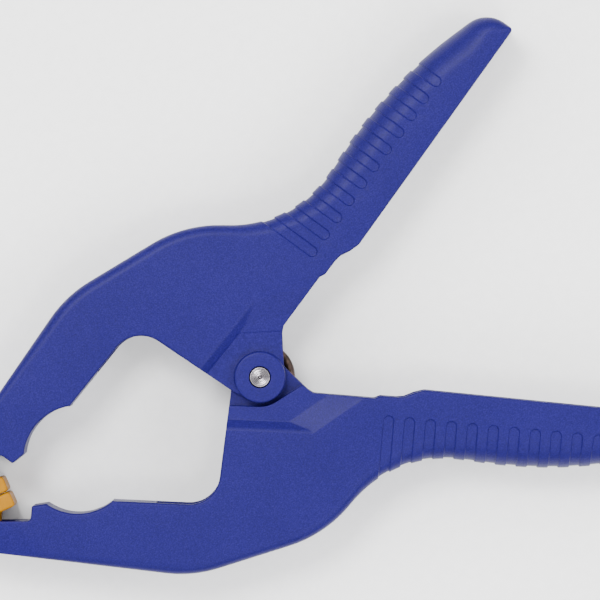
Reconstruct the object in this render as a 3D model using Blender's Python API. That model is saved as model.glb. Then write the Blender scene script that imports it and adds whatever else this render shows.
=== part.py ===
"""Spring clamp with swivel pads, lying on its side with the jaws closed.

Frame: the pivot axis is Z, the handles point along +X and the jaws along -X. The upper arm is on the +Y side.
The origin is on the pivot axis, on the surface that the clamp lies on. Both arms are one moulding: the lower
arm is the upper one turned half a turn about the clamp's long axis, and so is everything that it carries.
Sizes are in millimetres until a mesh is made, where MM turns them into metres. Heights called w are measured
from the clamp's middle plane.
"""
import math
from collections import namedtuple

import bmesh
import bpy

MM = 0.001

# Body of an arm
THICKNESS = 28.0
FACE = THICKNESS / 2
WALL = 3.0
GAP = 0.3
RECESS = 2.2
STEP = FACE - RECESS
TOE_STEP = 0.3
EDGE_STEPS = 4
OUTSIDE = 3.0

# Pivot: each arm has an outer ear on its +w side and an inner ear on its -w side
PIN_R = 3.25
PIN_BORE_R = 3.5
EAR = 3.0
OUTER_EAR = STEP - EAR
INNER_EAR_BACK = -(OUTER_EAR - GAP)
INNER_EAR = INNER_EAR_BACK + EAR
EAR_R = 8.0
BOSS_R = 8.2
BOSS_RIM = 0.6
POCKET_R = 9.5
HUB_R = 6.8
HOLLOW_R = 12.2

# Spring
WIRE_R = 1.4
COIL_R = 9.3
COIL_SHIFT = 0.6
COIL_TURNS = 2
COIL_PITCH = 2 * WIRE_R + GAP
COIL_STEPS = 28
LEG_ANGLE = math.radians(37.0)
LEG_LENGTH = 59.0

# Finger grooves round the handle's back
GROOVES = 11
GROOVE_FIRST = (31.8, 29.75)
GROOVE_LAST = (90.4, 63.0)
GROOVE_DIRECTION = math.radians(119.3)
GROOVE_REACH = 40.0
GROOVE_HALF = 1.7
GROOVE_DEPTH = 0.45

# Jaw tip and pad
PAD_PIN = (-101.0, 10.4)
PAD_PIN_R = 1.5
PAD_PIN_HALF = 12.4
PAD_BORE_R = 1.8
TIP_R = 4.8
TIP_TAPER = math.radians(5.0)
TAPER_START = -86.0
FORK_HALF = 5.0
FORK_ROOT = -90.8
PAD_HALF = 12.8
PAD_BACK = 5.2
PAD_FACE = GAP / 2
PAD_WIDE = 12.0
TONGUE_R = 4.2
TONGUE_HALF = 4.7
TONGUE_ROOT = 7.5

# Sunk area round the ear: a steep bank towards the jaw and a long ramp to the handle, meeting at a corner
RECESS_CORNER = (2.6, 16.9)
BANK_ANGLE = math.radians(26.7)
BANK_RUN = 2.9
BANK_LENGTH = 45.0
BANK_ROUND = 2.5
BANK_ROUND_STEPS = 4
RAMP_ANGLE = math.radians(-10.1)
RAMP_RUN = 7.4
RAMP_LENGTH = 20.0
EAR_BELOW = -14.0
TOE_OUTLINE = [(-0.1, 15.65), (-18.0, 6.65), (-18.0, EAR_BELOW), (16.0, EAR_BELOW), (16.0, 9.3)]

# Pocket for the other arm's ear, the spring leg's way out, and the mouths of the two hollows
POCKET_LEFT = (-16.0, 2.7)
POCKET_RIGHT = (16.0, 7.35)
POCKET_LIP = (82, 89, 96, 103, 110, 116.4)
LEG_CORRIDOR = [(-7.0, 10.2), (0.0, 0.0), (14.0, 2.0), (36.0, 14.0), (36.0, 28.0), (17.8, 27.1)]
CAVITY_FILLET = 24.0
CAVITY_LEFT = -55.0
CAVITY_RIGHT = 5.0
CHANNEL_LEFT = 8.5

Corner = namedtuple("Corner", "x y fillet edge edge_out", defaults=[None])
Arc = namedtuple("Arc", "x y radius start end edge")

CHANNEL_ROOT = [Corner(7.5, 26.9, 1.0, 0.5)]
CHANNEL_MOUTH = [
    Corner(118.6, 63.4, 0.0, 0.5),
    Corner(112.0, 57.0, 0.0, 0.5),
    Corner(32.5, 14.0, 0.0, 0.5),
    Corner(31.5, 23.0, 1.0, 0.5),
]
CORE_ROOT = [Corner(14.0, 20.0, 0.0, 0.5)]
CORE_MOUTH = [Corner(118.0, 65.0, 0.0, 0.5), Corner(31.0, 16.0, 0.0, 0.5)]
CAVITY_START = Corner(-46.0, 21.0, 0.0, 0.5)
CAVITY_MOUTH = [
    Corner(2.5, 24.1, 1.0, 0.5),
    Corner(-16.5, 14.2, 1.0, 0.5),
    Corner(-20.0, 8.0, 0.0, 0.5),
    Corner(-31.0, 18.0, 0.0, 0.5),
]

# Outline of the upper arm, clockwise from the jaw tip: the back, the handle's inner side, the ear, the throat
JAW_TIP = Arc(*PAD_PIN, TIP_R, 294.0, 121.2, 1.2)
JAW_TOP = Corner(-45.9, 49.4, 41.0, 3.5)
HUMP = Corner(-2.1, 54.6, 41.0, 3.5)
SADDLE = Corner(30.0, 39.6, 38.0, 3.5, 8.0)
HANDLE_BACK = Corner(76.3, 69.05, 148.0, 9.5)
HANDLE_TIP = Corner(115.0, 77.4, 9.5, 8.0, 3.5)
HANDLE_HEEL = Corner(119.8, 68.0, 1.2, 1.0)
INNER_SIDE = [
    Corner(46.5, 25.6, 2.0, 0.8),
    Corner(43.3, 24.95, 2.0, 0.8),
    Corner(39.6, 24.8, 1.5, 0.8),
    Corner(37.3, 23.9, 1.0, 0.8),
    Corner(32.8, 21.45, 1.0, 0.8),
    Corner(30.7, 21.3, 1.0, 0.8),
    Corner(13.6, 11.8, 2.5, 0.6),
    Corner(12.3, 9.8, 1.0, 0.5),
    Corner(10.3, 4.9, 4.0, 0.5),
]
EAR_END = Arc(0.0, 0.0, EAR_R, -19.0, -142.5, 0.4)
THROAT = [
    Corner(-10.2, 0.1, 0.3, 0.3),
    Corner(-29.7, 31.7, 10.0, 0.8),
    Corner(-59.2, 16.7, 0.8, 0.8),
]
PIPE_GRIP = Arc(-64.0, 0.0, 17.3, 74.0, 149.5, 0.8)
PAD_NOTCH = [Corner(-83.5, 7.5, 0.5, 0.6), Corner(-85.9, 11.7, 1.2, 0.6)]
ARM_OUTLINE = [
    JAW_TIP, JAW_TOP, HUMP, SADDLE, HANDLE_BACK, HANDLE_TIP, HANDLE_HEEL,
    *INNER_SIDE, EAR_END, *THROAT, PIPE_GRIP, *PAD_NOTCH,
]


# ---------------------------------------------------------------- outlines

def on_circle(x, y, radius, degrees):
    angle = math.radians(degrees)
    return (x + radius * math.cos(angle), y + radius * math.sin(angle))


def ends(item):
    """First and last point of an arc, or a corner's own point twice."""
    if isinstance(item, Corner):
        return (item.x, item.y), (item.x, item.y)
    circle = item.x, item.y, item.radius
    return on_circle(*circle, item.start), on_circle(*circle, item.end)


def arc_points(x, y, radius, start, end, edge, edge_out):
    """Points along an arc, close enough together to stay within 0.04 mm of it."""
    sag = 0.04
    reach = 2 * math.degrees(math.acos(max(0.7, 1 - sag / max(radius, sag))))
    count = max(2, math.ceil(abs(end - start) / reach))
    points = []
    for k in range(count + 1):
        t = k / count
        px, py = on_circle(x, y, radius, start + (end - start) * t)
        points.append((px, py, edge + (edge_out - edge) * t))
    return points


def corner_frame(before, corner, after):
    """Unit bisector of a corner, half the angle between its sides, and whether it sticks out."""
    ux, uy = before[0] - corner.x, before[1] - corner.y
    vx, vy = after[0] - corner.x, after[1] - corner.y
    u, v = math.hypot(ux, uy), math.hypot(vx, vy)
    ux, uy, vx, vy = ux / u, uy / u, vx / v, vy / v
    bx, by = ux + vx, uy + vy
    length = math.hypot(bx, by)
    half = math.acos(max(-1.0, min(1.0, ux * vx + uy * vy))) / 2
    return (bx / length, by / length), half, ux * vy - uy * vx > 0, (ux, uy), (vx, vy)


def fillet_points(before, corner, after):
    edge_out = corner.edge if corner.edge_out is None else corner.edge_out
    if corner.fillet == 0:
        return [(corner.x, corner.y, corner.edge)]
    (bx, by), half, _, u, v = corner_frame(before, corner, after)
    far = corner.fillet / math.sin(half)
    along = corner.fillet / math.tan(half)
    cx, cy = corner.x + bx * far, corner.y + by * far
    start = math.degrees(math.atan2(corner.y + u[1] * along - cy, corner.x + u[0] * along - cx))
    end = math.degrees(math.atan2(corner.y + v[1] * along - cy, corner.x + v[0] * along - cx))
    sweep = (end - start + 180) % 360 - 180
    return arc_points(cx, cy, corner.fillet, start, start + sweep, corner.edge, edge_out)


def outline(path):
    """Clockwise path of corners and arcs, as a counter-clockwise list of (x, y, edge radius)."""
    points = []
    for k, item in enumerate(path):
        if isinstance(item, Corner):
            before = ends(path[k - 1])[1]
            after = ends(path[(k + 1) % len(path)])[0]
            points += fillet_points(before, item, after)
        else:
            points += arc_points(item.x, item.y, item.radius, item.start, item.end, item.edge, item.edge)
    return points[::-1]


def inset_corner(k, depth):
    """Corner k of the arm's outline, moved inwards so that a wall of this depth is left."""
    corner = ARM_OUTLINE[k]
    before = ends(ARM_OUTLINE[k - 1])[1]
    after = ends(ARM_OUTLINE[k + 1])[0]
    (bx, by), half, sticks_out, _, _ = corner_frame(before, corner, after)
    side = 1 if sticks_out else -1
    far = side * depth / math.sin(half)
    edge_out = corner.edge if corner.edge_out is None else corner.edge_out
    return Corner(
        corner.x + bx * far, corner.y + by * far, corner.fillet - side * depth,
        max(0.5, corner.edge - depth), max(0.5, edge_out - depth),
    )


def inset_point(k, x, depth):
    """Point at this x on the side that leaves corner k, moved inwards by this depth."""
    ax, ay = ends(ARM_OUTLINE[k])[1]
    bx, by = ends(ARM_OUTLINE[k + 1])[0]
    length = math.hypot(bx - ax, by - ay)
    dx, dy = (bx - ax) / length, (by - ay) / length
    t = (x - ax - dy * depth) / dx
    return Corner(x, ay - dx * depth + dy * t, 0.0, 0.5)


def inward_normals(points):
    """For each point of a counter-clockwise outline, the step that moves both its sides in by one."""
    normals = []
    for k, (x, y, _) in enumerate(points):
        x0, y0, _ = points[k - 1]
        x1, y1, _ = points[(k + 1) % len(points)]
        a, b = math.hypot(x - x0, y - y0), math.hypot(x1 - x, y1 - y)
        ax, ay = -(y - y0) / a, (x - x0) / a
        bx, by = -(y1 - y) / b, (x1 - x) / b
        scale = 1 + ax * bx + ay * by
        normals.append(((ax + bx) / scale, (ay + by) / scale))
    return normals


# ---------------------------------------------------------------- meshes

def make_object(name, bm):
    bmesh.ops.recalc_face_normals(bm, faces=bm.faces)
    mesh = bpy.data.meshes.new(name)
    bm.to_mesh(mesh)
    bm.free()
    obj = bpy.data.objects.new(name, mesh)
    bpy.context.collection.objects.link(obj)
    return obj


def stacked_rings(name, rings):
    """Closed body through a stack of rings that have the same number of points, in millimetres."""
    bm = bmesh.new()
    rows = [[bm.verts.new([c * MM for c in point]) for point in ring] for ring in rings]
    count = len(rows[0])
    for lower, upper in zip(rows, rows[1:]):
        for k in range(count):
            j = (k + 1) % count
            bm.faces.new((lower[k], lower[j], upper[j], upper[k]))
    bm.faces.new(rows[0][::-1])
    bm.faces.new(rows[-1])
    return make_object(name, bm)


def rounded_slab(name, points, low, high, steps=EDGE_STEPS):
    """Body between two heights whose rims are rounded by each outline point's own edge radius."""
    normals = inward_normals(points)

    def ring(turn, top):
        inset, drop = 1 - math.cos(turn), 1 - math.sin(turn)
        level, away = (high, -1) if top else (low, 1)
        return [
            (x + nx * edge * inset, y + ny * edge * inset, level + away * edge * drop)
            for (x, y, edge), (nx, ny) in zip(points, normals)
        ]

    turns = [math.pi / 2 * k / steps for k in range(steps + 1)]
    return stacked_rings(name, [ring(t, False) for t in turns[::-1]] + [ring(t, True) for t in turns])


def prism(name, points, low, high):
    return stacked_rings(name, [[(x, y, low) for x, y in points], [(x, y, high) for x, y in points]])


def disc_points(radius, sides=32, centre=(0.0, 0.0)):
    return [on_circle(*centre, radius, 360 * k / sides) for k in range(sides)]


def turned(name, profile, sides=32):
    """Round body about the w axis through a profile of (radius, w) from its bottom rim to its top rim."""
    return stacked_rings(name, [[(x, y, w) for x, y in disc_points(r, sides)] for r, w in profile])


def combine(target, tool, operation):
    modifier = target.modifiers.new(tool.name, "BOOLEAN")
    modifier.operation = operation
    modifier.solver = "EXACT"
    modifier.object = tool
    tool.hide_render = True
    tool.display_type = "WIRE"


def baked(obj):
    """Mesh of an object with its modifiers applied; the object and its tools are removed."""
    tools = [modifier.object for modifier in obj.modifiers]
    evaluated = obj.evaluated_get(bpy.context.evaluated_depsgraph_get())
    mesh = bpy.data.meshes.new_from_object(evaluated)
    for used in [obj, *tools]:
        bpy.data.objects.remove(used)
    return mesh


# ---------------------------------------------------------------- the arm

def handle_path(depth, root, foot):
    """Closed path this deep inside the handle's back, between two runs of points on its inner side."""
    back = [inset_corner(ARM_OUTLINE.index(c), depth) for c in (SADDLE, HANDLE_BACK, HANDLE_TIP)]
    return [*root, inset_point(ARM_OUTLINE.index(HUMP), CHANNEL_LEFT, depth), *back, *foot]


def groove_core():
    """Handle without the depth of a groove, which the groove cutter leaves standing."""
    path = handle_path(GROOVE_DEPTH, CORE_ROOT, CORE_MOUTH)
    top = FACE - GROOVE_DEPTH
    return rounded_slab("groove_core", outline(path), -top, top)


def groove_cutter():
    """Pills across the handle's back, hollowed so that they cut only a shallow groove."""
    dx, dy = math.cos(GROOVE_DIRECTION), math.sin(GROOVE_DIRECTION)
    bm = bmesh.new()
    for k in range(GROOVES):
        t = k / (GROOVES - 1)
        cx = GROOVE_FIRST[0] + (GROOVE_LAST[0] - GROOVE_FIRST[0]) * t
        cy = GROOVE_FIRST[1] + (GROOVE_LAST[1] - GROOVE_FIRST[1]) * t
        heading = math.degrees(GROOVE_DIRECTION)
        pill = [on_circle(cx, cy, GROOVE_HALF, heading + 90 + 22.5 * j) for j in range(9)]
        pill += [(x + dx * GROOVE_REACH, y + dy * GROOVE_REACH) for x, y in (pill[-1], pill[0])]
        low, high = -FACE - OUTSIDE, FACE + OUTSIDE
        rows = [[bm.verts.new((x * MM, y * MM, w * MM)) for x, y in pill] for w in (low, high)]
        bm.faces.new(rows[0][::-1])
        bm.faces.new(rows[1])
        for j in range(len(pill)):
            i = (j + 1) % len(pill)
            bm.faces.new((rows[0][j], rows[0][i], rows[1][i], rows[1][j]))
    pills = make_object("groove_pills", bm)
    combine(pills, groove_core(), "DIFFERENCE")
    mesh = baked(pills)
    cutter = bpy.data.objects.new("groove_cutter", mesh)
    bpy.context.collection.objects.link(cutter)
    return cutter


def bank_profile():
    """Steps of (rise, run) up the bank: straight, then rounded over at the top, then straight up and out."""
    slope = math.atan2(RECESS, BANK_RUN)
    foot_rise = RECESS - BANK_ROUND * (1 - math.cos(slope))
    foot_run = foot_rise / math.tan(slope)
    steps = [(0.0, 0.0)]
    for k in range(BANK_ROUND_STEPS):
        turn = slope * (1 - k / BANK_ROUND_STEPS)
        rise = RECESS - BANK_ROUND * (1 - math.cos(turn))
        run = foot_run + BANK_ROUND * (math.sin(slope) - math.sin(turn))
        steps.append((rise, run))
    return [*steps, (RECESS + OUTSIDE, steps[-1][1] + GAP)]


def recess_cutter(name, side):
    """Sunk area round the ear on one side: a steep bank towards the jaw and a long ramp to the handle."""
    corner, bank, ramp = RECESS_CORNER, BANK_ANGLE, RAMP_ANGLE
    rings = []
    for rise, b in bank_profile():
        r = RAMP_RUN * rise / RECESS
        # the two top lines move out by b and r, and meet where both distances hold
        nx, ny = -math.sin(bank), math.cos(bank)
        mx, my = -math.sin(ramp), math.cos(ramp)
        det = nx * my - ny * mx
        cx, cy = corner[0] + (b * my - r * ny) / det, corner[1] + (nx * r - mx * b) / det
        far_left = (cx - BANK_LENGTH * math.cos(bank), cy - BANK_LENGTH * math.sin(bank))
        far_right = (cx + RAMP_LENGTH * math.cos(ramp), cy + RAMP_LENGTH * math.sin(ramp))
        below = [(far_right[0], EAR_BELOW), (far_left[0], EAR_BELOW)]
        loop = [far_left, (cx, cy), far_right, *below][::-1]
        rings.append([(x, y, side * (STEP + rise)) for x, y in loop])
    return stacked_rings(name, rings)


def pocket_cutter():
    """Room for the other arm's outer ear and boss, down to this arm's inner ear."""
    lip = [on_circle(0, 0, POCKET_R, angle) for angle in POCKET_LIP]
    below = [(POCKET_LEFT[0], EAR_BELOW), (POCKET_RIGHT[0], EAR_BELOW)]
    points = [POCKET_RIGHT, *lip, POCKET_LEFT, *below]
    return prism("pocket", points, -FACE - OUTSIDE, INNER_EAR_BACK)


def leg_corridor():
    """Way for the spring's leg from the hollow round the coil into the handle's channel."""
    return prism("leg_corridor", LEG_CORRIDOR, INNER_EAR, OUTER_EAR)


def handle_channel():
    """Inside of the handle, open towards the other handle."""
    path = handle_path(WALL, CHANNEL_ROOT, CHANNEL_MOUTH)
    return rounded_slab("handle_channel", outline(path), -FACE + WALL, FACE - WALL, steps=3)


def jaw_cavity():
    """Inside of the jaw's root, open towards the throat."""
    back = [inset_corner(ARM_OUTLINE.index(c), WALL) for c in (JAW_TOP, HUMP)]
    back = [corner._replace(fillet=CAVITY_FILLET) for corner in back]
    left = inset_point(ARM_OUTLINE.index(JAW_TIP), CAVITY_LEFT, WALL)
    right = inset_point(ARM_OUTLINE.index(HUMP), CAVITY_RIGHT, WALL)
    path = [CAVITY_START, left, *back, right, *CAVITY_MOUTH]
    return rounded_slab("jaw_cavity", outline(path), -FACE + WALL, FACE - WALL, steps=3)


def taper_cutter(name, side):
    """Wedge that thins the jaw tip on one side."""
    near, far, wide = TAPER_START + 6.0, TAPER_START - 24.0, 45.0
    level = {x: side * (FACE + (x - TAPER_START) * math.tan(TIP_TAPER)) for x in (near, far)}
    top = side * (FACE + OUTSIDE)
    section = [(near, level[near]), (far, level[far]), (far, top), (near, top)]
    return stacked_rings(name, [[(x, y, w) for x, w in section] for y in (-OUTSIDE, wide)])


def arm_mesh():
    arm = rounded_slab("arm_blank", outline(ARM_OUTLINE), -FACE, FACE)
    combine(arm, recess_cutter("recess_outer", 1), "DIFFERENCE")
    combine(arm, recess_cutter("recess_inner", -1), "DIFFERENCE")
    combine(arm, prism("toe_step", TOE_OUTLINE, STEP - TOE_STEP, FACE + OUTSIDE), "DIFFERENCE")
    boss = [(BOSS_R, OUTER_EAR - EAR), (BOSS_R, FACE - BOSS_RIM), (BOSS_R - 0.17, FACE - 0.17),
            (BOSS_R - BOSS_RIM, FACE)]
    combine(arm, turned("boss", boss, 48), "UNION")
    combine(arm, pocket_cutter(), "DIFFERENCE")
    combine(arm, prism("hollow", disc_points(HOLLOW_R, 40), INNER_EAR, OUTER_EAR), "DIFFERENCE")
    combine(arm, leg_corridor(), "DIFFERENCE")
    combine(arm, handle_channel(), "DIFFERENCE")
    combine(arm, jaw_cavity(), "DIFFERENCE")
    hub_root = INNER_EAR - EAR / 2
    combine(arm, turned("hub", [(HUB_R, hub_root), (HUB_R, -GAP - 0.5), (HUB_R - 0.5, -GAP)]), "UNION")
    bore = prism("bore", disc_points(PIN_BORE_R), -FACE - OUTSIDE, FACE + OUTSIDE)
    combine(arm, bore, "DIFFERENCE")
    fork = [(FORK_ROOT, -OUTSIDE), (FORK_ROOT, 30.0), (FORK_ROOT - 20.0, 30.0), (FORK_ROOT - 20.0, -OUTSIDE)]
    combine(arm, prism("fork", fork[::-1], -FORK_HALF, FORK_HALF), "DIFFERENCE")
    pad_bore = disc_points(PAD_BORE_R, 20, PAD_PIN)
    combine(arm, prism("pad_bore", pad_bore, -FACE - OUTSIDE, FACE + OUTSIDE), "DIFFERENCE")
    combine(arm, taper_cutter("taper_outer", 1), "DIFFERENCE")
    combine(arm, taper_cutter("taper_inner", -1), "DIFFERENCE")
    combine(arm, groove_cutter(), "DIFFERENCE")
    return baked(arm)


# ---------------------------------------------------------------- the other pieces

def pad_mesh():
    """Pad with its tongue, measured from the pad pin's axis."""
    back, face = PAD_BACK - PAD_PIN[1], PAD_FACE - PAD_PIN[1]
    body = [Corner(-PAD_HALF, back, 1.0, 1.0), Corner(PAD_HALF, back, 1.0, 1.0),
            Corner(PAD_HALF, face, 1.0, 1.0), Corner(-PAD_HALF, face, 1.0, 1.0)]
    pad = rounded_slab("pad_blank", outline(body), -PAD_WIDE, PAD_WIDE, steps=3)
    root = back - 2.0
    lean = math.degrees(math.atan2(back, TONGUE_ROOT) + math.acos(TONGUE_R / math.hypot(TONGUE_ROOT, back)))
    tongue = [Corner(-TONGUE_ROOT, root, 0.0, 0.4), Corner(-TONGUE_ROOT, back, 0.0, 0.4),
              Arc(0.0, 0.0, TONGUE_R, 180 - lean, lean, 0.4),
              Corner(TONGUE_ROOT, back, 0.0, 0.4), Corner(TONGUE_ROOT, root, 0.0, 0.4)]
    combine(pad, rounded_slab("tongue", outline(tongue), -TONGUE_HALF, TONGUE_HALF, steps=2), "UNION")
    bore = prism("tongue_bore", disc_points(PAD_BORE_R, 20), -FACE, FACE)
    combine(pad, bore, "DIFFERENCE")
    return baked(pad)


def pin_mesh(name, radius, half, sides):
    chamfer = 0.3
    profile = [(radius - chamfer, -half), (radius, -half + chamfer), (radius, half - chamfer),
               (radius - chamfer, half)]
    return baked(turned(name, profile, sides))


def spring_points():
    """Wire's middle line: lower leg, coil from below to above, upper leg."""
    turn_end = LEG_ANGLE + math.pi / 2
    sweep = 2 * math.pi * COIL_TURNS + (2 * math.pi - 2 * turn_end)
    rise = COIL_PITCH * sweep / (2 * math.pi)
    steps = round(COIL_STEPS * sweep / (2 * math.pi))
    coil = []
    for k in range(steps + 1):
        t = k / steps
        angle = -turn_end - sweep * t
        x, y = on_circle(COIL_SHIFT, 0.0, COIL_R, math.degrees(angle))
        coil.append((x, y, rise * (t - 0.5)))
    legs = {}
    for side, root in ((-1, coil[0]), (1, coil[-1])):
        ahead = (LEG_LENGTH * math.cos(LEG_ANGLE), side * LEG_LENGTH * math.sin(LEG_ANGLE))
        legs[side] = [(root[0] + ahead[0] * t, root[1] + ahead[1] * t, root[2]) for t in (1.0, 0.66, 0.33)]
    return legs[-1] + coil + legs[1][::-1]


def spring_curve():
    curve = bpy.data.curves.new("torsion_spring", "CURVE")
    curve.dimensions = "3D"
    curve.bevel_depth = WIRE_R * MM
    curve.bevel_resolution = 2
    curve.use_fill_caps = True
    points = spring_points()
    spline = curve.splines.new("POLY")
    spline.points.add(len(points) - 1)
    for target, (x, y, w) in zip(spline.points, points):
        target.co = (x * MM, y * MM, w * MM, 1.0)
    return curve


# ---------------------------------------------------------------- materials and assembly

def material(name, colour, roughness, metallic=0.0):
    made = bpy.data.materials.new(name)
    made.use_nodes = True
    shader = made.node_tree.nodes["Principled BSDF"]
    shader.inputs["Base Color"].default_value = (*colour, 1.0)
    shader.inputs["Roughness"].default_value = roughness
    shader.inputs["Metallic"].default_value = metallic
    made.diffuse_color = (*colour, 1.0)
    return made


def place(name, data, finish, x=0.0, y=0.0, over=False):
    """Named piece with its origin at (x, y) on the middle plane, turned over for the lower arm's pieces."""
    obj = bpy.data.objects.new(name, data)
    bpy.context.collection.objects.link(obj)
    obj.location = (x * MM, (-y if over else y) * MM, FACE * MM)
    obj.rotation_euler = (math.pi if over else 0.0, 0.0, 0.0)
    data.materials.clear()
    data.materials.append(finish)
    if isinstance(data, bpy.types.Mesh):
        data.shade_smooth()
        data.set_sharp_from_angle(angle=math.radians(30))
    return obj


def build():
    for obj in list(bpy.data.objects):
        bpy.data.objects.remove(obj)
    arm = arm_mesh()
    pad = pad_mesh()
    pad_pin = pin_mesh("pad_pin", PAD_PIN_R, PAD_PIN_HALF, 16)
    pivot_pin = pin_mesh("pivot_pin", PIN_R, FACE, 32)
    place("pivot_pin", pivot_pin, material("pin_steel", (0.55, 0.52, 0.53), 0.3, 1.0))
    place("torsion_spring", spring_curve(), material("spring_steel", (0.05, 0.035, 0.03), 0.4, 1.0))
    for name, over in (("upper", False), ("lower", True)):
        place(f"{name}_arm", arm.copy(), material(f"{name}_resin", (0.045, 0.063, 0.34), 0.5), over=over)
        yellow = material(f"{name}_pad_yellow", (0.85, 0.42, 0.01), 0.4)
        place(f"{name}_pad", pad.copy(), yellow, *PAD_PIN, over)
        steel = material(f"{name}_pad_steel", (0.5, 0.5, 0.5), 0.35, 1.0)
        place(f"{name}_pad_pin", pad_pin.copy(), steel, *PAD_PIN, over)


build()
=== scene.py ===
"""Visual model of the spring clamp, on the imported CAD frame.

The arms, pads, pins and spring are made again here with finer curves and softened edges, in the same places and
sizes as the CAD nodes that they stand for. Sizes are in millimetres until a mesh is made; w is the height above
the clamp's middle plane.
"""
import math
from collections import namedtuple

import bmesh
import bpy
from mathutils import Matrix


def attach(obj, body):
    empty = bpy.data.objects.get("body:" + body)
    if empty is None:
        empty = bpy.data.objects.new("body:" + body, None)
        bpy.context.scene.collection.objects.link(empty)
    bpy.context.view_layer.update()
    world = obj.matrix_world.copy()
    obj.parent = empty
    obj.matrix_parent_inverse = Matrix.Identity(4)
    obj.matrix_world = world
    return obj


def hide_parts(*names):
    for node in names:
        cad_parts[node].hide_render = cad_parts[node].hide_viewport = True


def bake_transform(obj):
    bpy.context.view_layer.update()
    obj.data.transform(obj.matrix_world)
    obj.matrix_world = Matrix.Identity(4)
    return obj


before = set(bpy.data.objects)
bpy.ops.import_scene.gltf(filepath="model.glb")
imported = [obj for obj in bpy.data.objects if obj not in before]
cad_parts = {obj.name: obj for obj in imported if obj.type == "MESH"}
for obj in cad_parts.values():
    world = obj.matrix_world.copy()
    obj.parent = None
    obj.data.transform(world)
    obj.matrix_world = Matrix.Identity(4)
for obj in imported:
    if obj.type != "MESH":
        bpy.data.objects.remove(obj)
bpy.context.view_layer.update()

MM = 0.001

# How finely round shapes are made
ARC_SAG = 0.006
ARC_LEAST_COS = 0.98
ROUND_SIDES = 96
BOSS_SIDES = 128
PIN_SIDES = 128
PAD_PIN_SIDES = 64
PAD_BORE_SIDES = 48
EDGE_STEPS = 12
HOLLOW_EDGE_STEPS = 8
PAD_EDGE_STEPS = 8
TONGUE_EDGE_STEPS = 4
COIL_STEPS = 96
WIRE_BEVEL = 6
BANK_ROUND_STEPS = 10
GROOVE_END_STEPS = 24
RIM_STEPS = 6

# Body of an arm
THICKNESS = 28.0
FACE = THICKNESS / 2
WALL = 3.0
GAP = 0.3
RECESS = 2.2
STEP = FACE - RECESS
TOE_STEP = 0.3
OUTSIDE = 3.0

# Pivot: each arm has an outer ear on its +w side and an inner ear on its -w side
PIN_R = 3.25
PIN_BORE_R = 3.5
EAR = 3.0
OUTER_EAR = STEP - EAR
INNER_EAR_BACK = -(OUTER_EAR - GAP)
INNER_EAR = INNER_EAR_BACK + EAR
EAR_R = 8.0
BOSS_R = 8.2
BOSS_RIM = 0.6
BOSS_RIM_MIDDLE = 0.17
POCKET_R = 9.5
HUB_R = 6.8
HUB_CHAMFER = 0.5
HOLLOW_R = 12.2

# Spring
WIRE_R = 1.4
COIL_R = 9.3
COIL_SHIFT = 0.6
COIL_TURNS = 2
COIL_PITCH = 2 * WIRE_R + GAP
LEG_ANGLE = math.radians(37.0)
LEG_LENGTH = 59.0
LEG_PLACES = (1.0, 0.66, 0.33)

# Finger grooves round the handle's back
GROOVES = 11
GROOVE_FIRST = (31.8, 29.75)
GROOVE_LAST = (90.4, 63.0)
GROOVE_DIRECTION = math.radians(119.3)
GROOVE_REACH = 40.0
GROOVE_HALF = 1.7
GROOVE_DEPTH = 0.45

# Jaw tip and pad
PAD_PIN = (-101.0, 10.4)
PAD_PIN_R = 1.5
PAD_PIN_HALF = 12.4
PAD_BORE_R = 1.8
TIP_R = 4.8
TIP_TAPER = math.radians(5.0)
TAPER_START = -86.0
FORK_HALF = 5.0
FORK_ROOT = -90.8
FORK_REACH = 20.0
FORK_TOP = 30.0
PAD_HALF = 12.8
PAD_BACK = 5.2
PAD_FACE = GAP / 2
PAD_WIDE = 12.0
PAD_FILLET = 1.1
PAD_EDGE = 1.0
TONGUE_R = 4.2
TONGUE_HALF = 4.7
TONGUE_ROOT = 7.5
TONGUE_SUNK = 2.0
TONGUE_EDGE = 0.4

# Turned ends of the pins: rim, flat face with rings, and a centre dimple
# DIMPLE_DEPTH and DIMPLE_SHOULDER (across, down) are parts of the dimple's own radius
RIM = 0.3
FLAT_IN = 0.35
RING_DEEP = 0.06
RING_HIGH = 0.005
DIMPLE_DEPTH = 0.8
DIMPLE_SHOULDER = (0.35, 0.7)
DIMPLE_LIP = 0.02
PIN_RINGS = 6
PIN_DIMPLE = 0.65
PAD_PIN_RINGS = 2
PAD_PIN_DIMPLE = 0.3

# Sunk area round the ear: a steep bank towards the jaw and a long ramp to the handle, meeting at a corner
RECESS_CORNER = (2.6, 16.9)
BANK_ANGLE = math.radians(26.7)
BANK_RUN = 2.9
BANK_LENGTH = 45.0
BANK_ROUND = 2.5
RAMP_ANGLE = math.radians(-10.1)
RAMP_RUN = 7.4
RAMP_LENGTH = 20.0
EAR_BELOW = -14.0
TOE_OUTLINE = [(-0.1, 15.65), (-18.0, 6.65), (-18.0, EAR_BELOW), (16.0, EAR_BELOW), (16.0, 9.3)]

# Pocket for the other arm's ear, the spring leg's way out, and the mouths of the two hollows
POCKET_LEFT = (-16.0, 2.7)
POCKET_RIGHT = (16.0, 7.35)
POCKET_LIP = (82, 89, 96, 103, 110, 116.4)
LEG_CORRIDOR = [(-7.0, 10.2), (0.0, 0.0), (14.0, 2.0), (36.0, 14.0), (36.0, 28.0), (17.8, 27.1)]
CAVITY_FILLET = 24.0
CAVITY_LEFT = -55.0
CAVITY_RIGHT = 5.0
CHANNEL_LEFT = 8.5

Corner = namedtuple("Corner", "x y fillet edge edge_out", defaults=[None])
Arc = namedtuple("Arc", "x y radius start end edge")

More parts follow.
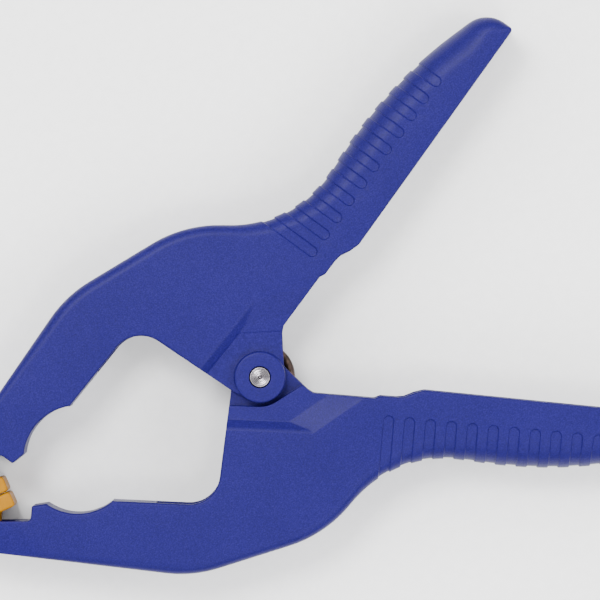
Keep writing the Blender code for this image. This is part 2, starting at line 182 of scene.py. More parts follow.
CHANNEL_ROOT = [Corner(7.5, 26.9, 1.0, 0.5)]
CHANNEL_MOUTH = [
    Corner(118.6, 63.4, 0.0, 0.5),
    Corner(112.0, 57.0, 0.0, 0.5),
    Corner(32.5, 14.0, 0.0, 0.5),
    Corner(31.5, 23.0, 1.0, 0.5),
]
CORE_ROOT = [Corner(14.0, 20.0, 0.0, 0.5)]
CORE_MOUTH = [Corner(118.0, 65.0, 0.0, 0.5), Corner(31.0, 16.0, 0.0, 0.5)]
CAVITY_START = Corner(-46.0, 21.0, 0.0, 0.5)
CAVITY_MOUTH = [
    Corner(2.5, 24.1, 1.0, 0.5),
    Corner(-16.5, 14.2, 1.0, 0.5),
    Corner(-20.0, 8.0, 0.0, 0.5),
    Corner(-31.0, 18.0, 0.0, 0.5),
]

# Outline of the upper arm, clockwise from the jaw tip: the back, the handle's inner side, the ear, the throat
JAW_TIP = Arc(*PAD_PIN, TIP_R, 294.0, 121.2, 1.2)
JAW_TOP = Corner(-45.9, 49.4, 41.0, 3.5)
HUMP = Corner(-2.1, 54.6, 41.0, 3.5)
SADDLE = Corner(30.0, 39.6, 38.0, 3.5, 8.0)
HANDLE_BACK = Corner(76.3, 69.05, 148.0, 9.5)
HANDLE_TIP = Corner(115.0, 77.4, 9.5, 8.0, 3.5)
HANDLE_HEEL = Corner(119.8, 68.0, 1.2, 1.0)
INNER_SIDE = [
    Corner(46.5, 25.6, 2.0, 0.8),
    Corner(43.3, 24.95, 2.0, 0.8),
    Corner(39.6, 24.8, 1.5, 0.8),
    Corner(37.3, 23.9, 1.0, 0.8),
    Corner(32.8, 21.45, 1.0, 0.8),
    Corner(30.7, 21.3, 1.0, 0.8),
    Corner(13.6, 11.8, 2.5, 0.6),
    Corner(12.3, 9.8, 1.0, 0.5),
    Corner(10.3, 4.9, 4.0, 0.5),
]
EAR_END = Arc(0.0, 0.0, EAR_R, -19.0, -142.5, 0.4)
THROAT = [
    Corner(-10.2, 0.1, 0.3, 0.3),
    Corner(-29.7, 31.7, 10.0, 0.8),
    Corner(-59.2, 16.7, 0.8, 0.8),
]
PIPE_GRIP = Arc(-64.0, 0.0, 17.3, 74.0, 149.5, 0.8)
PAD_NOTCH = [Corner(-83.5, 7.5, 0.5, 0.6), Corner(-85.9, 11.7, 1.2, 0.6)]
ARM_OUTLINE = [
    JAW_TIP, JAW_TOP, HUMP, SADDLE, HANDLE_BACK, HANDLE_TIP, HANDLE_HEEL,
    *INNER_SIDE, EAR_END, *THROAT, PIPE_GRIP, *PAD_NOTCH,
]


# ---------------------------------------------------------------- outlines

def on_circle(x, y, radius, degrees):
    angle = math.radians(degrees)
    return (x + radius * math.cos(angle), y + radius * math.sin(angle))


def ends(item):
    """First and last point of an arc, or a corner's own point twice."""
    if isinstance(item, Corner):
        return (item.x, item.y), (item.x, item.y)
    circle = item.x, item.y, item.radius
    return on_circle(*circle, item.start), on_circle(*circle, item.end)


def arc_points(x, y, radius, start, end, edge, edge_out):
    """Points along an arc, close enough together to stay within ARC_SAG of it."""
    reach = 2 * math.degrees(math.acos(max(ARC_LEAST_COS, 1 - ARC_SAG / max(radius, ARC_SAG))))
    count = max(2, math.ceil(abs(end - start) / reach))
    points = []
    for k in range(count + 1):
        t = k / count
        px, py = on_circle(x, y, radius, start + (end - start) * t)
        points.append((px, py, edge + (edge_out - edge) * t))
    return points


def corner_frame(before, corner, after):
    """A corner's unit bisector, half the angle between its sides, whether it sticks out, and its sides."""
    ux, uy = before[0] - corner.x, before[1] - corner.y
    vx, vy = after[0] - corner.x, after[1] - corner.y
    u, v = math.hypot(ux, uy), math.hypot(vx, vy)
    ux, uy, vx, vy = ux / u, uy / u, vx / v, vy / v
    bx, by = ux + vx, uy + vy
    length = math.hypot(bx, by)
    half = math.acos(max(-1.0, min(1.0, ux * vx + uy * vy))) / 2
    return (bx / length, by / length), half, ux * vy - uy * vx > 0, (ux, uy), (vx, vy)


def fillet_points(before, corner, after):
    """Points round a corner's fillet, or the corner's own point where it has none."""
    edge_out = corner.edge if corner.edge_out is None else corner.edge_out
    if corner.fillet == 0:
        return [(corner.x, corner.y, corner.edge)]
    (bx, by), half, _, u, v = corner_frame(before, corner, after)
    far = corner.fillet / math.sin(half)
    along = corner.fillet / math.tan(half)
    cx, cy = corner.x + bx * far, corner.y + by * far
    start = math.degrees(math.atan2(corner.y + u[1] * along - cy, corner.x + u[0] * along - cx))
    end = math.degrees(math.atan2(corner.y + v[1] * along - cy, corner.x + v[0] * along - cx))
    sweep = (end - start + 180) % 360 - 180
    return arc_points(cx, cy, corner.fillet, start, start + sweep, corner.edge, edge_out)


def outline(path):
    """Clockwise path of corners and arcs, as a counter-clockwise list of (x, y, edge radius)."""
    points = []
    for k, item in enumerate(path):
        if isinstance(item, Corner):
            before = ends(path[k - 1])[1]
            after = ends(path[(k + 1) % len(path)])[0]
            points += fillet_points(before, item, after)
        else:
            points += arc_points(item.x, item.y, item.radius, item.start, item.end, item.edge, item.edge)
    return points[::-1]


def inset_corner(k, depth):
    """Corner k of the arm's outline, moved inwards so that a wall of this depth is left."""
    corner = ARM_OUTLINE[k]
    before = ends(ARM_OUTLINE[k - 1])[1]
    after = ends(ARM_OUTLINE[k + 1])[0]
    (bx, by), half, sticks_out, _, _ = corner_frame(before, corner, after)
    side = 1 if sticks_out else -1
    far = side * depth / math.sin(half)
    edge_out = corner.edge if corner.edge_out is None else corner.edge_out
    return Corner(
        corner.x + bx * far, corner.y + by * far, corner.fillet - side * depth,
        max(0.5, corner.edge - depth), max(0.5, edge_out - depth),
    )


def inset_point(k, x, depth):
    """Point at this x on the side that leaves corner k, moved inwards by this depth."""
    ax, ay = ends(ARM_OUTLINE[k])[1]
    bx, by = ends(ARM_OUTLINE[k + 1])[0]
    length = math.hypot(bx - ax, by - ay)
    dx, dy = (bx - ax) / length, (by - ay) / length
    t = (x - ax - dy * depth) / dx
    return Corner(x, ay - dx * depth + dy * t, 0.0, 0.5)


def inward_normals(points):
    """For each point of a counter-clockwise outline, the step that moves both its sides in by one."""
    normals = []
    for k, (x, y, _) in enumerate(points):
        x0, y0, _ = points[k - 1]
        x1, y1, _ = points[(k + 1) % len(points)]
        a, b = math.hypot(x - x0, y - y0), math.hypot(x1 - x, y1 - y)
        ax, ay = -(y - y0) / a, (x - x0) / a
        bx, by = -(y1 - y) / b, (x1 - x) / b
        scale = 1 + ax * bx + ay * by
        normals.append(((ax + bx) / scale, (ay + by) / scale))
    return normals


# ---------------------------------------------------------------- meshes

def make_object(name, bm):
    bmesh.ops.recalc_face_normals(bm, faces=bm.faces)
    mesh = bpy.data.meshes.new(name)
    bm.to_mesh(mesh)
    bm.free()
    obj = bpy.data.objects.new(name, mesh)
    bpy.context.collection.objects.link(obj)
    return obj


def add_stack(bm, rings):
    """Adds a closed body through a stack of rings that have the same number of points, in millimetres."""
    rows = [[bm.verts.new([c * MM for c in point]) for point in ring] for ring in rings]
    count = len(rows[0])
    for lower, upper in zip(rows, rows[1:]):
        for k in range(count):
            j = (k + 1) % count
            bm.faces.new((lower[k], lower[j], upper[j], upper[k]))
    bm.faces.new(rows[0][::-1])
    bm.faces.new(rows[-1])


def stacked_rings(name, rings):
    bm = bmesh.new()
    add_stack(bm, rings)
    return make_object(name, bm)


def rounded_slab(name, points, low, high, steps=EDGE_STEPS):
    """Body between two heights whose rims are rounded by each outline point's own edge radius."""
    normals = inward_normals(points)

    def ring(turn, top):
        inset, drop = 1 - math.cos(turn), 1 - math.sin(turn)
        level, away = (high, -1) if top else (low, 1)
        return [
            (x + nx * edge * inset, y + ny * edge * inset, level + away * edge * drop)
            for (x, y, edge), (nx, ny) in zip(points, normals)
        ]

    turns = [math.pi / 2 * k / steps for k in range(steps + 1)]
    return stacked_rings(name, [ring(t, False) for t in turns[::-1]] + [ring(t, True) for t in turns])


def prism(name, points, low, high):
    return stacked_rings(name, [[(x, y, low) for x, y in points], [(x, y, high) for x, y in points]])


def disc_points(radius, sides=ROUND_SIDES, centre=(0.0, 0.0)):
    return [on_circle(*centre, radius, 360 * k / sides) for k in range(sides)]


def turned(name, profile, sides=ROUND_SIDES):
    """Round body about the w axis through a profile of (radius, w) from its bottom rim to its top rim."""
    return stacked_rings(name, [[(x, y, w) for x, y in disc_points(r, sides)] for r, w in profile])


def combine(target, tool, operation):
    """Adds a boolean to the target; baked() applies it and removes the tool."""
    modifier = target.modifiers.new(tool.name, "BOOLEAN")
    modifier.operation = operation
    modifier.solver = "EXACT"
    modifier.object = tool


def baked(obj):
    """Mesh of an object with its modifiers applied; the object and its tools are removed."""
    tools = [modifier.object for modifier in obj.modifiers if modifier.type == "BOOLEAN"]
    evaluated = obj.evaluated_get(bpy.context.evaluated_depsgraph_get())
    mesh = bpy.data.meshes.new_from_object(evaluated)
    for used in [obj, *tools]:
        bpy.data.objects.remove(used)
    return mesh


# ---------------------------------------------------------------- the arm

def handle_path(depth, root, foot):
    """Closed path this deep inside the handle's back, between two runs of points on its inner side."""
    back = [inset_corner(ARM_OUTLINE.index(c), depth) for c in (SADDLE, HANDLE_BACK, HANDLE_TIP)]
    return [*root, inset_point(ARM_OUTLINE.index(HUMP), CHANNEL_LEFT, depth), *back, *foot]


def groove_core():
    """Handle without the depth of a groove, which the groove cutter leaves standing."""
    path = handle_path(GROOVE_DEPTH, CORE_ROOT, CORE_MOUTH)
    top = FACE - GROOVE_DEPTH
    return rounded_slab("groove_core", outline(path), -top, top)


def groove_cutter():
    """Pills across the handle's back, hollowed so that they cut only a shallow groove."""
    dx, dy = math.cos(GROOVE_DIRECTION), math.sin(GROOVE_DIRECTION)
    heading = math.degrees(GROOVE_DIRECTION)
    bm = bmesh.new()
    for k in range(GROOVES):
        t = k / (GROOVES - 1)
        cx = GROOVE_FIRST[0] + (GROOVE_LAST[0] - GROOVE_FIRST[0]) * t
        cy = GROOVE_FIRST[1] + (GROOVE_LAST[1] - GROOVE_FIRST[1]) * t
        turns = [heading + 90 + 180 * j / GROOVE_END_STEPS for j in range(GROOVE_END_STEPS + 1)]
        pill = [on_circle(cx, cy, GROOVE_HALF, turn) for turn in turns]
        pill += [(x + dx * GROOVE_REACH, y + dy * GROOVE_REACH) for x, y in (pill[-1], pill[0])]
        add_stack(bm, [[(x, y, w) for x, y in pill] for w in (-FACE - OUTSIDE, FACE + OUTSIDE)])
    pills = make_object("groove_pills", bm)
    combine(pills, groove_core(), "DIFFERENCE")
    mesh = baked(pills)
    cutter = bpy.data.objects.new("groove_cutter", mesh)
    bpy.context.collection.objects.link(cutter)
    return cutter


def bank_profile():
    """Steps of (rise, run) up the bank: straight, then rounded over at the top, then straight up and out."""
    slope = math.atan2(RECESS, BANK_RUN)
    foot_rise = RECESS - BANK_ROUND * (1 - math.cos(slope))
    foot_run = foot_rise / math.tan(slope)
    steps = [(0.0, 0.0)]
    for k in range(BANK_ROUND_STEPS):
        turn = slope * (1 - k / BANK_ROUND_STEPS)
        rise = RECESS - BANK_ROUND * (1 - math.cos(turn))
        run = foot_run + BANK_ROUND * (math.sin(slope) - math.sin(turn))
        steps.append((rise, run))
    return [*steps, (RECESS + OUTSIDE, steps[-1][1] + GAP)]


def recess_cutter(name, side):
    """Sunk area round the ear on one side: a steep bank towards the jaw and a long ramp to the handle."""
    # unit steps out of the recess, across the bank and across the ramp
    nx, ny = -math.sin(BANK_ANGLE), math.cos(BANK_ANGLE)
    mx, my = -math.sin(RAMP_ANGLE), math.cos(RAMP_ANGLE)
    det = nx * my - ny * mx
    rings = []
    for rise, b in bank_profile():
        r = RAMP_RUN * rise / RECESS
        # the two top lines move out by b and r, and meet where both distances hold
        cx = RECESS_CORNER[0] + (b * my - r * ny) / det
        cy = RECESS_CORNER[1] + (nx * r - mx * b) / det
        far_left = (cx - BANK_LENGTH * math.cos(BANK_ANGLE), cy - BANK_LENGTH * math.sin(BANK_ANGLE))
        far_right = (cx + RAMP_LENGTH * math.cos(RAMP_ANGLE), cy + RAMP_LENGTH * math.sin(RAMP_ANGLE))
        below = [(far_right[0], EAR_BELOW), (far_left[0], EAR_BELOW)]
        loop = [far_left, (cx, cy), far_right, *below][::-1]
        rings.append([(x, y, side * (STEP + rise)) for x, y in loop])
    return stacked_rings(name, rings)


def pocket_cutter():
    """Room for the other arm's outer ear and boss, down to this arm's inner ear."""
    lip = [on_circle(0, 0, POCKET_R, angle) for angle in POCKET_LIP]
    below = [(POCKET_LEFT[0], EAR_BELOW), (POCKET_RIGHT[0], EAR_BELOW)]
    points = [POCKET_RIGHT, *lip, POCKET_LEFT, *below]
    return prism("pocket", points, -FACE - OUTSIDE, INNER_EAR_BACK)


def leg_corridor():
    """Way for the spring's leg from the hollow round the coil into the handle's channel."""
    return prism("leg_corridor", LEG_CORRIDOR, INNER_EAR, OUTER_EAR)


def handle_channel():
    """Inside of the handle, open towards the other handle."""
    path = handle_path(WALL, CHANNEL_ROOT, CHANNEL_MOUTH)
    return rounded_slab("handle_channel", outline(path), -FACE + WALL, FACE - WALL, HOLLOW_EDGE_STEPS)


def jaw_cavity():
    """Inside of the jaw's root, open towards the throat."""
    back = [inset_corner(ARM_OUTLINE.index(c), WALL) for c in (JAW_TOP, HUMP)]
    back = [corner._replace(fillet=CAVITY_FILLET) for corner in back]
    left = inset_point(ARM_OUTLINE.index(JAW_TIP), CAVITY_LEFT, WALL)
    right = inset_point(ARM_OUTLINE.index(HUMP), CAVITY_RIGHT, WALL)
    path = [CAVITY_START, left, *back, right, *CAVITY_MOUTH]
    return rounded_slab("jaw_cavity", outline(path), -FACE + WALL, FACE - WALL, HOLLOW_EDGE_STEPS)


def taper_cutter(name, side):
    """Wedge that thins the jaw tip on one side."""
    near, far, wide = TAPER_START + 6.0, TAPER_START - 24.0, 45.0
    level = {x: side * (FACE + (x - TAPER_START) * math.tan(TIP_TAPER)) for x in (near, far)}
    top = side * (FACE + OUTSIDE)
    section = [(near, level[near]), (far, level[far]), (far, top), (near, top)]
    return stacked_rings(name, [[(x, y, w) for x, w in section] for y in (-OUTSIDE, wide)])


def arm_mesh():
    """The upper arm, before its skin softens the cut edges."""
    arm = rounded_slab("arm_blank", outline(ARM_OUTLINE), -FACE, FACE)
    combine(arm, recess_cutter("recess_outer", 1), "DIFFERENCE")
    combine(arm, recess_cutter("recess_inner", -1), "DIFFERENCE")
    combine(arm, prism("toe_step", TOE_OUTLINE, STEP - TOE_STEP, FACE + OUTSIDE), "DIFFERENCE")
    boss = [(BOSS_R, OUTER_EAR - EAR), (BOSS_R, FACE - BOSS_RIM),
            (BOSS_R - BOSS_RIM_MIDDLE, FACE - BOSS_RIM_MIDDLE), (BOSS_R - BOSS_RIM, FACE)]
    combine(arm, turned("boss", boss, BOSS_SIDES), "UNION")
    combine(arm, pocket_cutter(), "DIFFERENCE")
    combine(arm, prism("hollow", disc_points(HOLLOW_R), INNER_EAR, OUTER_EAR), "DIFFERENCE")
    combine(arm, leg_corridor(), "DIFFERENCE")
    combine(arm, handle_channel(), "DIFFERENCE")
    combine(arm, jaw_cavity(), "DIFFERENCE")
    hub = [(HUB_R, INNER_EAR - EAR / 2), (HUB_R, -GAP - HUB_CHAMFER), (HUB_R - HUB_CHAMFER, -GAP)]
    combine(arm, turned("hub", hub), "UNION")
    bore = prism("bore", disc_points(PIN_BORE_R), -FACE - OUTSIDE, FACE + OUTSIDE)
    combine(arm, bore, "DIFFERENCE")
    fork_end = FORK_ROOT - FORK_REACH
    fork = [(FORK_ROOT, -OUTSIDE), (FORK_ROOT, FORK_TOP), (fork_end, FORK_TOP), (fork_end, -OUTSIDE)]
    combine(arm, prism("fork", fork[::-1], -FORK_HALF, FORK_HALF), "DIFFERENCE")
    pad_bore = disc_points(PAD_BORE_R, PAD_BORE_SIDES, PAD_PIN)
    combine(arm, prism("pad_bore", pad_bore, -FACE - OUTSIDE, FACE + OUTSIDE), "DIFFERENCE")
    combine(arm, taper_cutter("taper_outer", 1), "DIFFERENCE")
    combine(arm, taper_cutter("taper_inner", -1), "DIFFERENCE")
    combine(arm, groove_cutter(), "DIFFERENCE")
    return baked(arm)


def spring_points():
    """Wire's middle line: lower leg, coil from below to above, upper leg."""
    turn_end = LEG_ANGLE + math.pi / 2
    sweep = 2 * math.pi * COIL_TURNS + (2 * math.pi - 2 * turn_end)
    rise = COIL_PITCH * sweep / (2 * math.pi)
    steps = round(COIL_STEPS * sweep / (2 * math.pi))
    coil = []
    for k in range(steps + 1):
        t = k / steps
        angle = -turn_end - sweep * t
        x, y = on_circle(COIL_SHIFT, 0.0, COIL_R, math.degrees(angle))
        coil.append((x, y, rise * (t - 0.5)))
    legs = {}
    for side, root in ((-1, coil[0]), (1, coil[-1])):
        ahead = (LEG_LENGTH * math.cos(LEG_ANGLE), side * LEG_LENGTH * math.sin(LEG_ANGLE))
        legs[side] = [(root[0] + ahead[0] * t, root[1] + ahead[1] * t, root[2]) for t in LEG_PLACES]
    return legs[-1] + coil + legs[1][::-1]


# ---------------------------------------------------------------- skins

SKIN_VOXEL = 0.17
SKIN_TRIANGLES = 190000
PAD_VOXEL = 0.22
PAD_TRIANGLES = 60000
SOFTEN_FACTOR = 0.5
SOFTEN_ROUNDS = 2


def skin(mesh, voxel, triangles):
    """The mesh as one closed skin with edges softened by about a voxel, thinned to this many triangles."""
    obj = bpy.data.objects.new("blank", mesh)
    bpy.context.collection.objects.link(obj)
    remesh = obj.modifiers.new("skin", "REMESH")
    remesh.mode = "VOXEL"
    remesh.voxel_size = voxel * MM
    soften = obj.modifiers.new("soften", "SMOOTH")
    soften.factor = SOFTEN_FACTOR
    soften.iterations = SOFTEN_ROUNDS
    fine = baked(obj)
    count = 2 * len(fine.polygons)
    if count > triangles:
        thin = bpy.data.objects.new("thin", fine)
        bpy.context.collection.objects.link(thin)
        thinned = thin.modifiers.new("thin", "DECIMATE")
        thinned.ratio = triangles / count
        fine = baked(thin)
    fine.shade_smooth()
    return fine


def fitted(name, mesh, node, body, slot, finish, x=0.0, y=0.0, over=False):
    """Makes a piece that stands for a CAD node, placed as the node is and riding on its body."""
    obj = bpy.data.objects.new(name, mesh)
    bpy.context.collection.objects.link(obj)
    obj.location = (x * MM, (-y if over else y) * MM, FACE * MM)
    obj.rotation_euler = (math.pi if over else 0.0, 0.0, 0.0)
    mesh.materials.clear()
    mesh.materials.append(finish)
    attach(obj, body)
    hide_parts(node)


def lathe(name, profile, sides):
    """Closed body turned about w, through a profile of (radius, w) that starts and ends on the axis."""
    bm = bmesh.new()
    first = bm.verts.new((0, 0, profile[0][1] * MM))
    last = bm.verts.new((0, 0, profile[-1][1] * MM))
    rows = [[bm.verts.new((x * MM, y * MM, w * MM)) for x, y in disc_points(r, sides)] for r, w in profile[1:-1]]
    for k in range(sides):
        j = (k + 1) % sides
        bm.faces.new((first, rows[0][j], rows[0][k]))
        bm.faces.new((last, rows[-1][k], rows[-1][j]))
        for lower, upper in zip(rows, rows[1:]):
            bm.faces.new((lower[k], lower[j], upper[j], upper[k]))
    return make_object(name, bm)


def pin_profile(radius, half, rings, dimple):
    """Half a pin's section: a centre dimple, turned rings, a rounded rim, and the same at the other end."""
    across, down = DIMPLE_SHOULDER
    end = [(0.0, half - dimple * DIMPLE_DEPTH), (dimple * across, half - dimple * down), (dimple, half - DIMPLE_LIP)]
    flat = radius - FLAT_IN
    for k in range(rings):
        r = dimple + (flat - dimple) * (k + 1) / (rings + 1)
        end.append((r, half - (RING_DEEP if k % 2 == 0 else RING_HIGH)))
    end.append((flat, half))
    for k in range(1, RIM_STEPS + 1):
        turn = math.pi / 2 * k / RIM_STEPS
        end.append((radius - RIM + RIM * math.sin(turn), half - RIM + RIM * math.cos(turn)))
    return [(r, -w) for r, w in end] + end[::-1]


def pad_skin():
    """Pad with rounded corners all round and its tongue, measured from the pad pin's axis."""
    back, face = PAD_BACK - PAD_PIN[1], PAD_FACE - PAD_PIN[1]
    rim = [(-PAD_HALF, back), (PAD_HALF, back), (PAD_HALF, face), (-PAD_HALF, face)]
    body = [Corner(x, y, PAD_FILLET, PAD_EDGE) for x, y in rim]
    pad = rounded_slab("pad_blank", outline(body), -PAD_WIDE, PAD_WIDE, PAD_EDGE_STEPS)
    root = back - TONGUE_SUNK
    lean = math.degrees(math.atan2(back, TONGUE_ROOT) + math.acos(TONGUE_R / math.hypot(TONGUE_ROOT, back)))
    tongue = [
        Corner(-TONGUE_ROOT, root, 0.0, TONGUE_EDGE),
        Corner(-TONGUE_ROOT, back, 0.0, TONGUE_EDGE),
        Arc(0.0, 0.0, TONGUE_R, 180 - lean, lean, TONGUE_EDGE),
        Corner(TONGUE_ROOT, back, 0.0, TONGUE_EDGE),
        Corner(TONGUE_ROOT, root, 0.0, TONGUE_EDGE),
    ]
    tongue_body = rounded_slab("tongue", outline(tongue), -TONGUE_HALF, TONGUE_HALF, TONGUE_EDGE_STEPS)
    combine(pad, tongue_body, "UNION")
    combine(pad, prism("tongue_bore", disc_points(PAD_BORE_R, PAD_BORE_SIDES), -FACE, FACE), "DIFFERENCE")
    return skin(baked(pad), PAD_VOXEL, PAD_TRIANGLES)


def spring_skin():
    """Wire as a round tube with flat ends, at its height above the floor."""
    curve = bpy.data.curves.new("wire", "CURVE")
    curve.dimensions = "3D"
    curve.bevel_depth = WIRE_R * MM
    curve.bevel_resolution = WIRE_BEVEL
    curve.use_fill_caps = True
    points = spring_points()
    spline = curve.splines.new("POLY")
    spline.points.add(len(points) - 1)
    for target, (x, y, w) in zip(spline.points, points):
        target.co = (x * MM, y * MM, (w + FACE) * MM, 1.0)
    obj = bpy.data.objects.new("wire", curve)
    bpy.context.collection.objects.link(obj)
    mesh = baked(obj)
    mesh.shade_smooth()
    return mesh


# ---------------------------------------------------------------- finishes

# Colours of each finish, as stops of (place, colour) over its noise
RESIN_STOPS = [
    (0.38, (0.0034, 0.0017, 0.052)),
    (0.56, (0.0058, 0.0029, 0.076)),
    (0.76, (0.0112, 0.0067, 0.107)),
]
RESIN_PATCHES = 0.12  # how much the large patches add to the grain
PAD_STOPS = [
    (0.36, (0.245, 0.100, 0.0)),
    (0.52, (0.265, 0.112, 0.0)),
    (0.7, (0.280, 0.121, 0.0)),
]
PIN_STOPS = [(0.35, (0.13, 0.12, 0.135)), (0.6, (0.23, 0.213, 0.23))]
WIRE_STOPS = [(0.35, (0.020, 0.013, 0.011)), (0.65, (0.075, 0.045, 0.035))]
PAPER_STOPS = [(0.3, (0.90, 0.90, 0.90)), (0.7, (0.93, 0.93, 0.93))]


def nodes_of(name, roughness, metallic=0.0, specular=0.5):
    """A new material, its node tree, its shader and the object's own coordinates."""
    made = bpy.data.materials.new(name)
    made.use_nodes = True
    tree = made.node_tree
    shader = tree.nodes["Principled BSDF"]
    shader.inputs["Roughness"].default_value = roughness
    shader.inputs["Metallic"].default_value = metallic
    shader.inputs["Specular IOR Level"].default_value = specular
    where = tree.nodes.new("ShaderNodeTexCoord").outputs["Object"]
    return made, tree, shader, where


def noise(tree, where, scale, detail=2.0, roughness=0.5):
    made = tree.nodes.new("ShaderNodeTexNoise")
    made.inputs["Scale"].default_value = scale
    made.inputs["Detail"].default_value = detail
    made.inputs["Roughness"].default_value = roughness
    tree.links.new(where, made.inputs["Vector"])
    return made.outputs["Fac"]


def ramp(tree, value, stops):
    """Colour read off these stops at a value."""
    made = tree.nodes.new("ShaderNodeValToRGB")
    elements = made.color_ramp.elements
    while len(elements) < len(stops):
        elements.new(0.5)
    for element, (place, colour) in zip(elements, stops):
        element.position = place
        element.color = (*colour, 1.0)
    tree.links.new(value, made.inputs["Fac"])
    return made.outputs["Color"]


def bump(tree, height, shader, distance):
    made = tree.nodes.new("ShaderNodeBump")
    made.inputs["Strength"].default_value = 1.0
    made.inputs["Distance"].default_value = distance
    tree.links.new(height, made.inputs["Height"])
    tree.links.new(made.outputs["Normal"], shader.inputs["Normal"])


def spread(tree, value, low, high):
    """A value from 0 to 1 spread between two others."""
    made = tree.nodes.new("ShaderNodeMapRange")
    made.inputs["To Min"].default_value = low
    made.inputs["To Max"].default_value = high
    tree.links.new(value, made.inputs["Value"])
    return made.outputs["Result"]


def resin_finish():
    """Blue filled resin with a fine spark-eroded grain."""
    made, tree, shader, where = nodes_of("arm_resin", roughness=0.42, specular=0.11)
    grain = noise(tree, where, scale=2300, detail=3.0, roughness=0.6)
    patch = noise(tree, where, scale=45)
    mix = tree.nodes.new("ShaderNodeMath")
    mix.operation = "MULTIPLY_ADD"
    mix.inputs[1].default_value = RESIN_PATCHES
    tree.links.new(patch, mix.inputs[0])
    tree.links.new(grain, mix.inputs[2])
    colour = ramp(tree, mix.outputs[0], RESIN_STOPS)
    tree.links.new(colour, shader.inputs["Base Color"])
    tree.links.new(spread(tree, grain, low=0.35, high=0.48), shader.inputs["Roughness"])
    bump(tree, grain, shader, distance=0.00006)
    return made


def pad_finish():
    """Yellow-orange plastic, slightly cloudy, with faint moulding flow."""
    made, tree, shader, where = nodes_of("pad_plastic", roughness=0.42, specular=0.1)
    cloud = noise(tree, where, scale=420, detail=4.0, roughness=0.6)
    colour = ramp(tree, cloud, PAD_STOPS)
    tree.links.new(colour, shader.inputs["Base Color"])
    tree.links.new(spread(tree, cloud, low=0.34, high=0.5), shader.inputs["Roughness"])
    bump(tree, noise(tree, where, scale=1500), shader, distance=0.00002)
    return made


def turned_finish():
    """Bright steel with turning marks round the pin's axis."""
    made, tree, shader, where = nodes_of("pin_steel", roughness=0.28, metallic=1.0)
    marks = tree.nodes.new("ShaderNodeTexWave")
    marks.wave_type = "RINGS"
    marks.rings_direction = "Z"
    marks.inputs["Scale"].default_value = 700
    marks.inputs["Distortion"].default_value = 1.5
    marks.inputs["Detail"].default_value = 3.0
    tree.links.new(where, marks.inputs["Vector"])
    colour = ramp(tree, noise(tree, where, scale=500, detail=3.0), PIN_STOPS)
    tree.links.new(colour, shader.inputs["Base Color"])
    tree.links.new(spread(tree, marks.outputs["Fac"], low=0.2, high=0.38), shader.inputs["Roughness"])
    bump(tree, marks.outputs["Fac"], shader, distance=0.00001)
    return made


def spring_finish():
    """Dark oil-blackened wire with a brown cast and faint drawing marks."""
    made, tree, shader, where = nodes_of("spring_steel", roughness=0.4, metallic=0.8)
    drawn = noise(tree, where, scale=700, detail=4.0, roughness=0.6)
    colour = ramp(tree, drawn, WIRE_STOPS)
    tree.links.new(colour, shader.inputs["Base Color"])
    tree.links.new(spread(tree, drawn, low=0.3, high=0.5), shader.inputs["Roughness"])
    bump(tree, drawn, shader, distance=0.00002)
    return made


def paper_finish():
    """Plain pale floor."""
    made, tree, shader, where = nodes_of("paper", roughness=0.9, specular=0.1)
    colour = ramp(tree, noise(tree, where, scale=300), PAPER_STOPS)
    tree.links.new(colour, shader.inputs["Base Color"])
    return made


# ---------------------------------------------------------------- the clamp

def clamp():
    resin, yellow, steel, dark = resin_finish(), pad_finish(), turned_finish(), spring_finish()
    arm = skin(arm_mesh(), SKIN_VOXEL, SKIN_TRIANGLES)
    pad = pad_skin()
    section = pin_profile(PAD_PIN_R, PAD_PIN_HALF, PAD_PIN_RINGS, PAD_PIN_DIMPLE)
    pad_pin = baked(lathe("pad_pin", section, PAD_PIN_SIDES))
    for name, over in (("upper", False), ("lower", True)):
        fitted(f"{name}_arm_skin", arm.copy(), f"{name}_arm", name, "arm_resin", resin, over=over)
        fitted(f"{name}_pad_skin", pad.copy(), f"{name}_pad", f"{name}_pad", "pad_plastic", yellow, *PAD_PIN, over)
        fitted(f"{name}_pad_pin_turned", pad_pin.copy(), f"{name}_pad_pin", name, "pin_steel", steel, *PAD_PIN, over)
    pin = baked(lathe("pin", pin_profile(PIN_R, FACE, PIN_RINGS, PIN_DIMPLE), PIN_SIDES))
    fitted("pivot_pin_turned", pin, "pivot_pin", "lower", "pin_steel", steel)
    mesh = spring_skin()
    mesh.materials.append(dark)
    wire = bpy.data.objects.new("torsion_spring_wire", mesh)
    bpy.context.collection.objects.link(wire)
    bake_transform(wire)
    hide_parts("torsion_spring")


# ---------------------------------------------------------------- the studio

FLOOR_HALF = 3.0
FLOOR_DROP = 0.0002

# Lamps, all aimed at the clamp: place, side and power
SOFTBOXES = {
    "softbox_left": ((-0.095, 0.606, 1.40), 0.45, 24),
    "softbox_right": ((0.045, -0.475, 1.40), 0.3, 7),
    "softbox_edge": ((0.827, -0.561, 0.9), 0.5, 8),
}

# Light tent: brightness by the Z of the world's generated coordinate, a bright band with dark below and above it
TENT_STOPS = [(0.3, (0.06,) * 3), (0.52, (1.0,) * 3), (0.72, (1.0,) * 3), (0.88, (0.1,) * 3)]
TENT_STRENGTH = 4.3


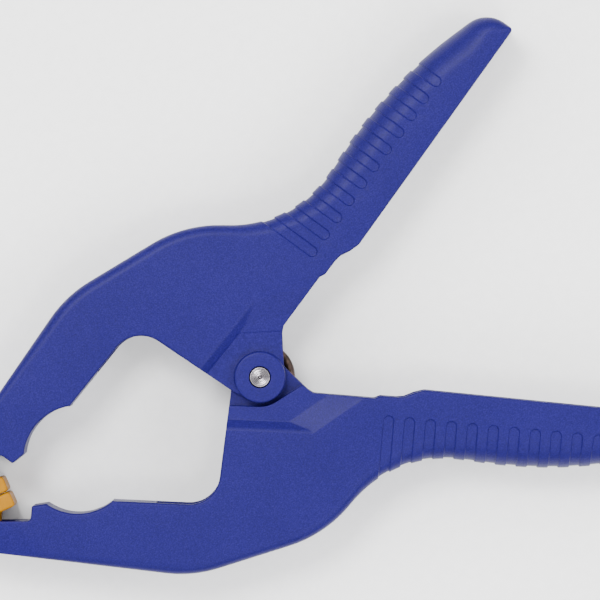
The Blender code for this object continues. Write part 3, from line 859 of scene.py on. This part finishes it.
def lay_floor():
    h = FLOOR_HALF
    floor_mesh = bpy.data.meshes.new("floor")
    floor_mesh.from_pydata([(-h, -h, 0), (h, -h, 0), (h, h, 0), (-h, h, 0)], [], [(0, 1, 2, 3)])
    floor_mesh.materials.append(paper_finish())
    floor = bpy.data.objects.new("floor", floor_mesh)
    floor.location.z = -FLOOR_DROP
    bpy.context.collection.objects.link(floor)


def softbox(name, place, side, power):
    data = bpy.data.lights.new(name, "AREA")
    data.shape = "RECTANGLE"
    data.size = data.size_y = side
    data.energy = power
    obj = bpy.data.objects.new(name, data)
    obj.location = place
    obj.rotation_euler = (-obj.location).to_track_quat("-Z", "Y").to_euler()
    bpy.context.collection.objects.link(obj)


def tent():
    world = bpy.data.worlds.new("tent")
    world.use_nodes = True
    tree = world.node_tree
    height = tree.nodes.new("ShaderNodeSeparateXYZ")
    tree.links.new(tree.nodes.new("ShaderNodeTexCoord").outputs["Generated"], height.inputs[0])
    walls = ramp(tree, height.outputs["Z"], TENT_STOPS)
    tree.links.new(walls, tree.nodes["Background"].inputs["Color"])
    tree.nodes["Background"].inputs["Strength"].default_value = TENT_STRENGTH
    bpy.context.scene.world = world


def studio():
    lay_floor()
    for name, (place, side, power) in SOFTBOXES.items():
        softbox(name, place, side, power)
    tent()


# ---------------------------------------------------------------- the camera

VIEW_TURN = math.radians(24.35)
VIEW_CENTRE = (0.0219, 0.0172)
VIEW_DISTANCE = 2.4
VIEW_WIDTH = 0.192
SENSOR = 36.0


def camera():
    """Looks straight down on the clamp, turned about the vertical."""
    c, s = math.cos(VIEW_TURN), math.sin(VIEW_TURN)
    data = bpy.data.cameras.new("camera")
    data.sensor_width = SENSOR
    data.lens = SENSOR * VIEW_DISTANCE / VIEW_WIDTH
    obj = bpy.data.objects.new("camera", data)
    bpy.context.collection.objects.link(obj)
    obj.matrix_world = Matrix(((c, s, 0, VIEW_CENTRE[0]), (-s, c, 0, VIEW_CENTRE[1]),
                               (0, 0, 1, VIEW_DISTANCE + THICKNESS * MM), (0, 0, 0, 1)))
    bpy.context.scene.camera = obj


clamp()
studio()
camera()
